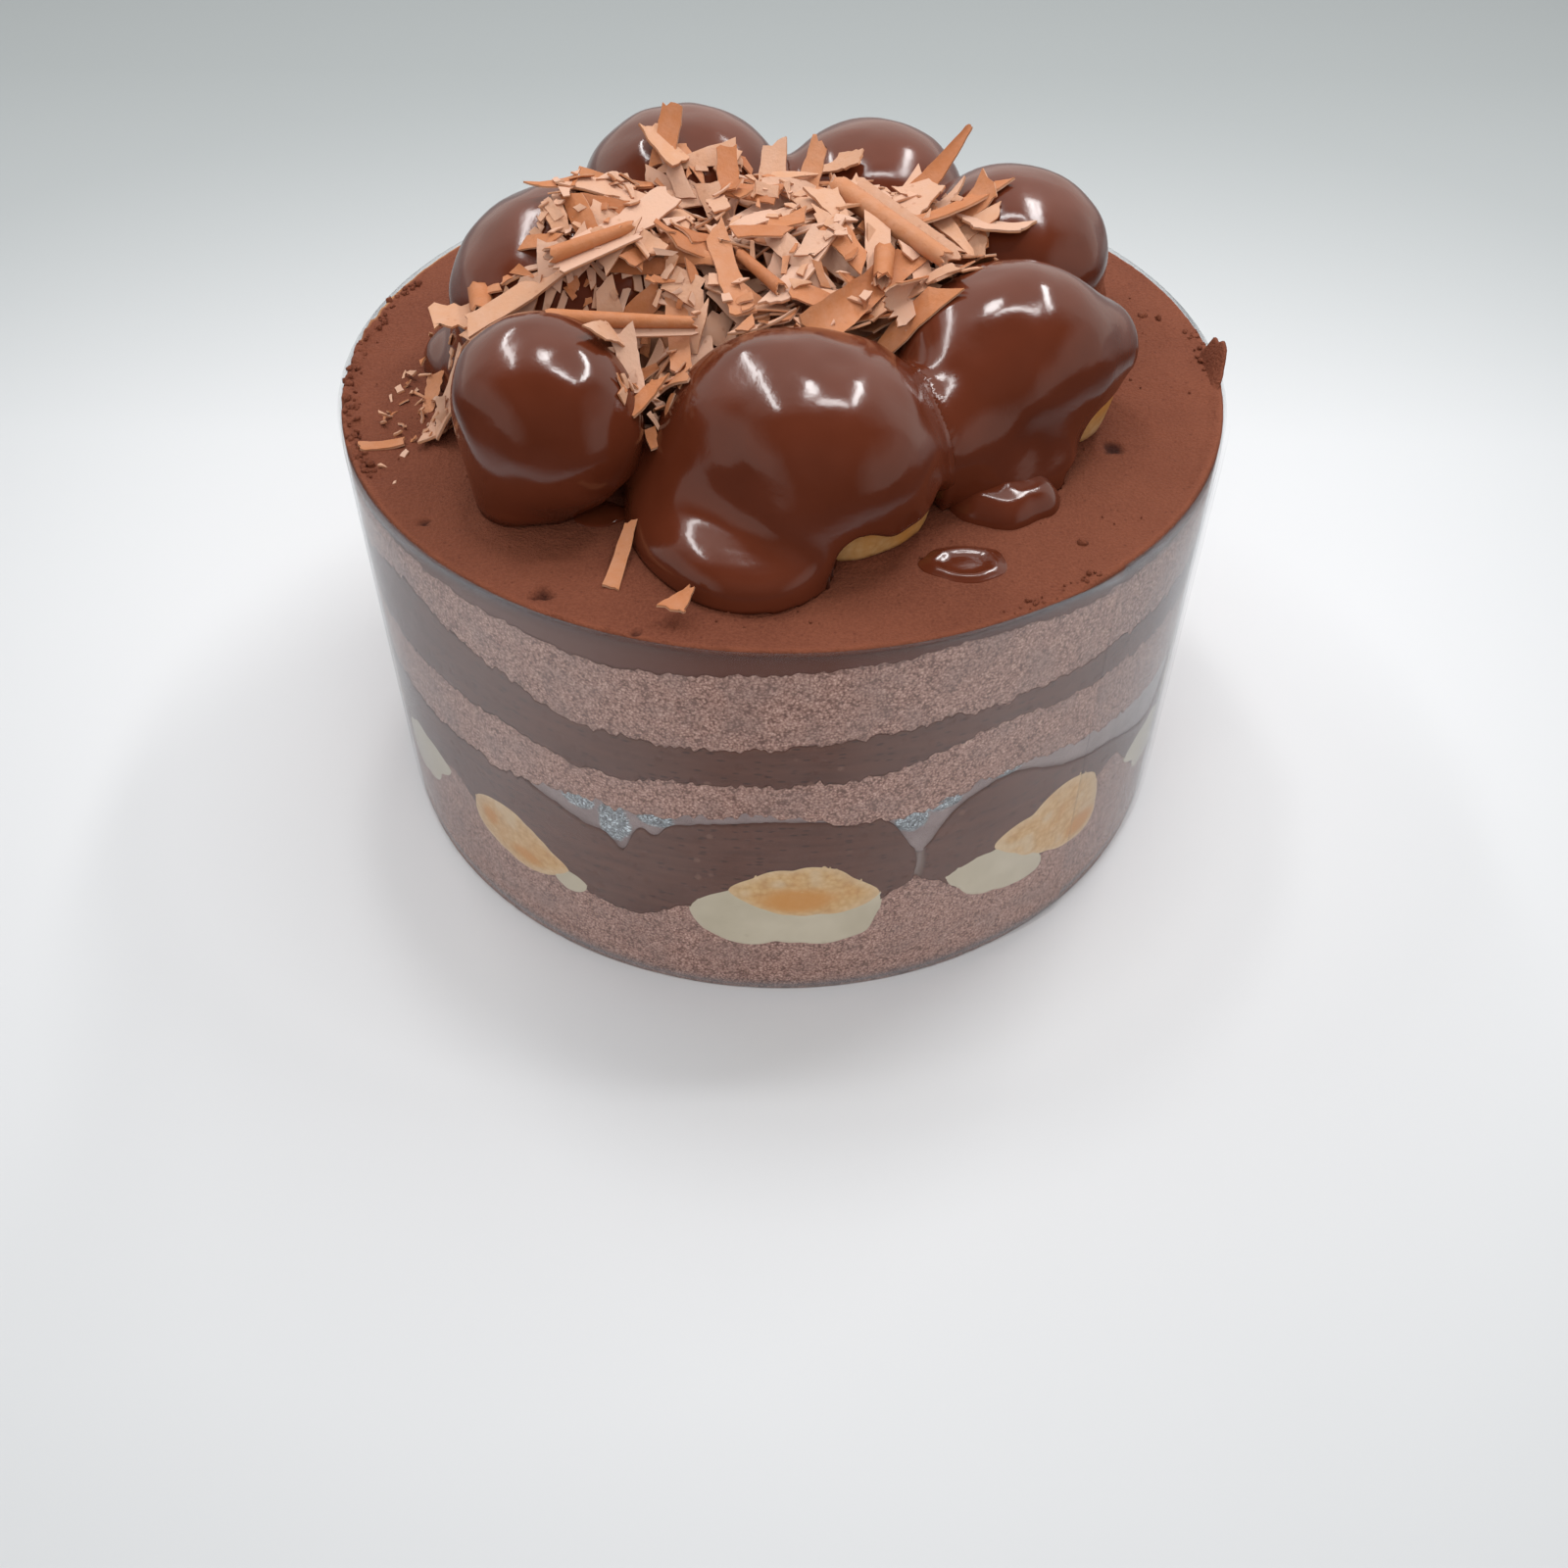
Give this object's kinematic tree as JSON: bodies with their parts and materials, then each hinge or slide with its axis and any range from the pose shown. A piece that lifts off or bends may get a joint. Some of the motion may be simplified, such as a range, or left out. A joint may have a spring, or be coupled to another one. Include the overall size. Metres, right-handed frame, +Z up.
{
  "type": "profiterole cake",
  "caption": "Round chocolate layer cake in a clear film collar, with choux buns set in cream at its side, and a ring of glazed profiteroles round a heap of shavings on top.",
  "frame": {"origin": "centre of the cake's base, on the surface that it stands on", "axes": "+Z up through the middle of the cake, -Y towards the front that the picture shows"},
  "size_m": [0.1598, 0.1598, 0.1201],
  "materials": {
    "sponge": "open chocolate crumb",
    "ganache": "smooth chocolate cream",
    "mousse": "matte fine-grained chocolate mousse",
    "cream": "soft white cream",
    "choux": "baked golden choux pastry",
    "glaze": "glossy poured chocolate glaze",
    "shaving": "waxy milk chocolate",
    "film": "clear, slightly hazy film"
  },
  "bodies": {
    "root": {"sponge_base": "sponge", "sponge_middle": "sponge", "sponge_top": "sponge", "ganache_lower": "ganache", "ganache_middle": "ganache", "mousse_top": "mousse", "set_bun_1": "choux", "cream_1": "cream", "set_bun_2": "choux", "cream_2": "cream", "set_bun_3": "choux", "cream_3": "cream", "set_bun_4": "choux", "cream_4": "cream", "set_bun_5": "choux", "cream_5": "cream", "set_bun_6": "choux", "cream_6": "cream", "set_bun_7": "choux", "cream_7": "cream", "set_bun_8": "choux", "cream_8": "cream", "set_bun_9": "choux", "cream_9": "cream", "choux_1": "choux", "glaze_1": "glaze", "choux_2": "choux", "glaze_2": "glaze", "choux_3": "choux", "glaze_3": "glaze", "choux_4": "choux", "glaze_4": "glaze", "choux_5": "choux", "glaze_5": "glaze", "choux_6": "choux", "glaze_6": "glaze", "choux_7": "choux", "glaze_7": "glaze", "shavings": "shaving", "collar": "film"}
  },
  "joints": []
}
